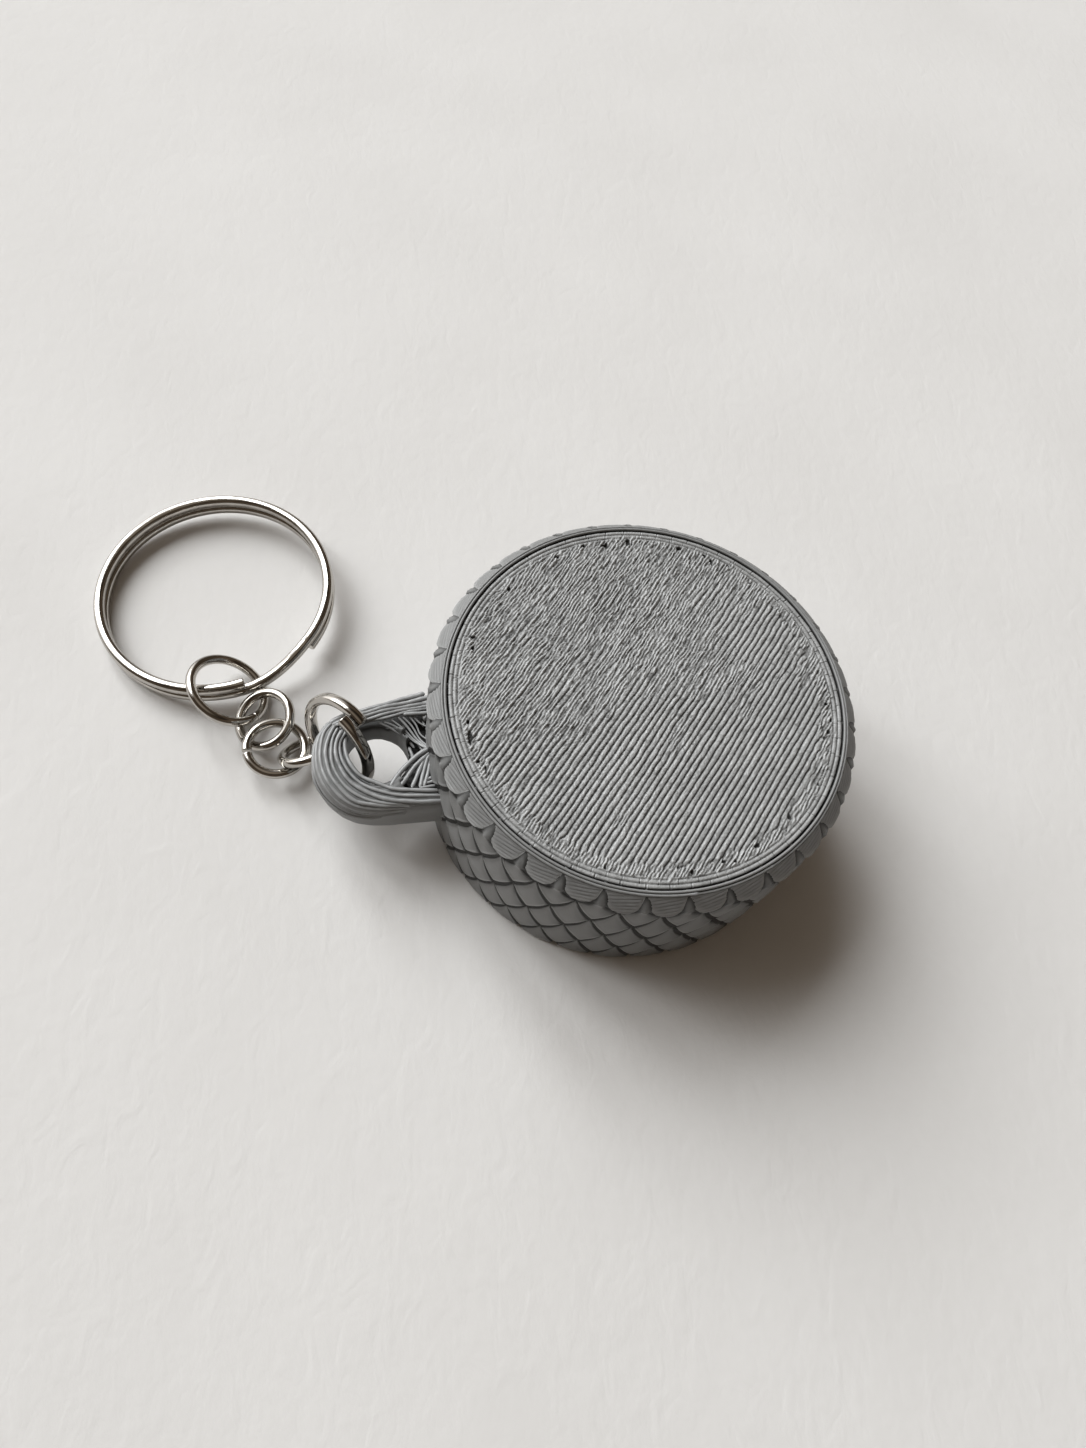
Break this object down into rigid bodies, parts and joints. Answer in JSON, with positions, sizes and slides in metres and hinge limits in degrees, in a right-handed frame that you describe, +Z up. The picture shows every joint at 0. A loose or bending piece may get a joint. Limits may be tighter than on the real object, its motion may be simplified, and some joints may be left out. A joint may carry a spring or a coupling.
{
  "type": "key ring",
  "caption": "Split key ring on a short chain of jump rings, with a round printed drum whose wall wears scales and whose core turns in it.",
  "frame": {"origin": "middle of the drum's base, on the surface that the drum lies on", "axes": "+Z up along the drum's axis, -X towards the drum's eye and the chain, +Y towards the side where the split ring lies"},
  "size_m": [0.0726, 0.0554, 0.0184],
  "materials": {
    "plated_steel": "polished nickel plate on steel wire",
    "grey_print": "satin printed plastic",
    "grey_face": "satin printed plastic with a coarse raster"
  },
  "bodies": {
    "case": {"drum_case": "grey_print"},
    "core": {"drum_core": "grey_face"},
    "eye_ring": {"eye_ring": "plated_steel"},
    "link_4": {"ring_link_4": "plated_steel"},
    "link_3": {"ring_link_3": "plated_steel"},
    "link_2": {"ring_link_2": "plated_steel"},
    "link_1": {"ring_link_1": "plated_steel"},
    "split_ring": {"split_ring": "plated_steel"}
  },
  "joints": [
    {"name": "core_spin", "type": "hinge", "parent": "case", "child": "core", "pos_m": [0, 0, 0.0092], "axis": [0, 0, 1], "continuous": true},
    {"name": "eye_ring_swing", "type": "hinge", "parent": "case", "child": "eye_ring", "pos_m": [-0.02784, 0.00291, 0.00765], "axis": [-0.6458, -0.7635, 0], "range_deg": [-40, 40]},
    {"name": "link_4_swing", "type": "hinge", "parent": "eye_ring", "child": "link_4", "pos_m": [-0.02983, 0.00342, 0.00346], "axis": [0.4612, -0.7614, -0.4555], "range_deg": [-18, 46]},
    {"name": "link_3_swing", "type": "hinge", "parent": "link_4", "child": "link_3", "pos_m": [-0.03371, 0.0035, 0.00196], "axis": [-0.0472, -0.7249, 0.6873], "range_deg": [-6, 40]},
    {"name": "link_2_swing", "type": "hinge", "parent": "link_3", "child": "link_2", "pos_m": [-0.03516, 0.00726, 0.00207], "axis": [-0.9461, -0.2978, 0.1272], "range_deg": [-10, 8]},
    {"name": "link_1_swing", "type": "hinge", "parent": "link_2", "child": "link_1", "pos_m": [-0.03715, 0.01004, 0.00162], "axis": [-0.7054, -0.6143, -0.3535], "range_deg": [-28, 45]},
    {"name": "split_ring_swing", "type": "hinge", "parent": "link_1", "child": "split_ring", "pos_m": [-0.03923, 0.01491, 0.00205], "axis": [-0.8516, 0.011, 0.5241], "range_deg": [-4, 16]}
  ]
}
